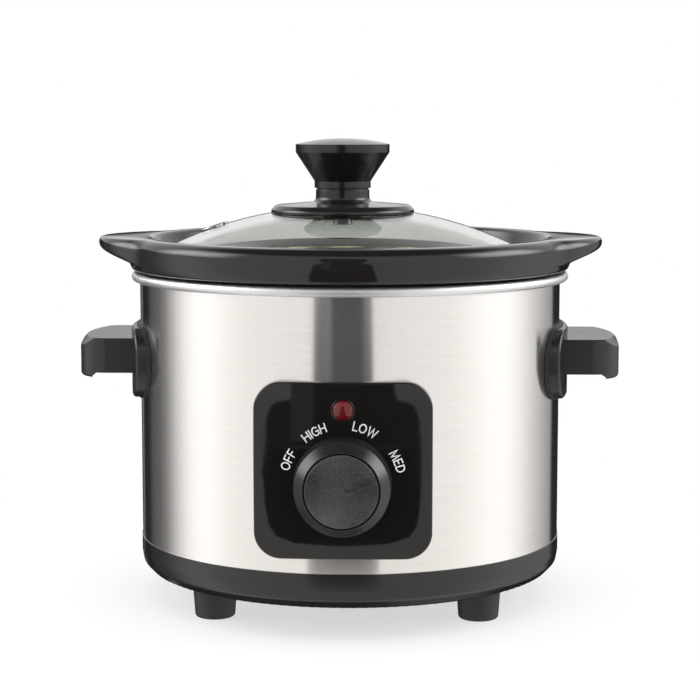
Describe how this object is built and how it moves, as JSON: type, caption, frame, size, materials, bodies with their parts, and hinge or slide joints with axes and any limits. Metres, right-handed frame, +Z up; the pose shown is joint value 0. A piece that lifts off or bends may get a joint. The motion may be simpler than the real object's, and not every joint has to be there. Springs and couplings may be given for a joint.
{
  "type": "slow cooker",
  "caption": "Round slow cooker with a domed glass lid, glazed crock with lugs, brushed steel heating base, side handles and a rotary heat dial.",
  "frame": {"origin": "middle of the cooker's bounding box on the table plane under the feet; the crock's axis is 8.4 mm behind it", "axes": "+Z up, the dial faces -Y, +X to the right as seen from the front"},
  "size_m": [0.2468, 0.2207, 0.2128],
  "materials": {
    "lid_glass": "clear tempered glass, slight green tint",
    "polished_steel": "polished stainless",
    "clear_silicone": "translucent silicone",
    "gloss_black": "polished black phenolic",
    "panel_black": "piano-black moulding",
    "dial_texture": "fine spark-eroded texture",
    "satin_black": "satin black moulding",
    "foot_black": "matte black moulding",
    "gasket_black": "matte rubber",
    "glaze_black": "gloss black glaze",
    "spun_aluminium": "spun, slightly rough",
    "brushed_shell": "brushed round the body",
    "zinc_screws": "zinc plated",
    "brass": "machined",
    "red_lens": "translucent red",
    "neon_glass": "clear glass tube",
    "switch_body": "moulded phenolic",
    "heater_foil": "foil-faced band",
    "fuse_body": "lacquered",
    "lead_sleeve": "glass-fibre sleeve"
  },
  "bodies": {
    "heating_base": {"heating_bowl": "spun_aluminium", "outer_shell": "brushed_shell", "base_housing": "satin_black", "foot_front_left": "foot_black", "foot_front_right": "foot_black", "foot_rear_left": "foot_black", "foot_rear_right": "foot_black", "foot_screws": "zinc_screws", "handle_left": "satin_black", "handle_right": "satin_black", "handle_gasket_left": "gasket_black", "handle_gasket_right": "gasket_black", "handle_screws": "zinc_screws", "control_panel": "panel_black", "panel_screws": "zinc_screws", "indicator_lens": "red_lens", "neon_lamp": "neon_glass", "rotary_switch": "switch_body", "switch_terminals": "brass", "switch_nut": "zinc_screws", "heater_band": "heater_foil", "band_bolt": "zinc_screws", "thermal_fuse": "fuse_body", "fuse_clip": "zinc_screws", "terminal_block": "switch_body", "terminal_screws": "zinc_screws", "lead_live": "lead_sleeve", "lead_heater": "lead_sleeve", "lead_fuse": "lead_sleeve", "tie_bolt": "zinc_screws", "tie_washer": "zinc_screws", "tie_nut": "zinc_screws", "cord_gland": "gasket_black"},
    "crock": {"crock": "glaze_black", "crock_rim": "glaze_black", "crock_floor": "glaze_black"},
    "lid": {"glass_lid": "lid_glass", "vent_eyelet": "polished_steel", "lid_gasket": "clear_silicone", "knob_skirt": "gloss_black", "lid_knob": "gloss_black", "knob_insert": "brass", "lid_washer": "gasket_black", "knob_screw": "zinc_screws"},
    "dial": {"dial_skirt": "panel_black", "dial_cap": "dial_texture", "switch_shaft": "zinc_screws"}
  },
  "joints": [
    {"name": "crock_lift", "type": "slide", "parent": "heating_base", "child": "crock", "axis": [0, 0, 1], "range_m": [0, 0.125]},
    {"name": "lid_lift", "type": "slide", "parent": "crock", "child": "lid", "axis": [0, 0, 1], "range_m": [0, 0.08]},
    {"name": "dial_turn", "type": "hinge", "parent": "heating_base", "child": "dial", "pos_m": [0, -0.0928, 0.0693], "axis": [0, -1, 0], "range_deg": [0, 135]}
  ]
}
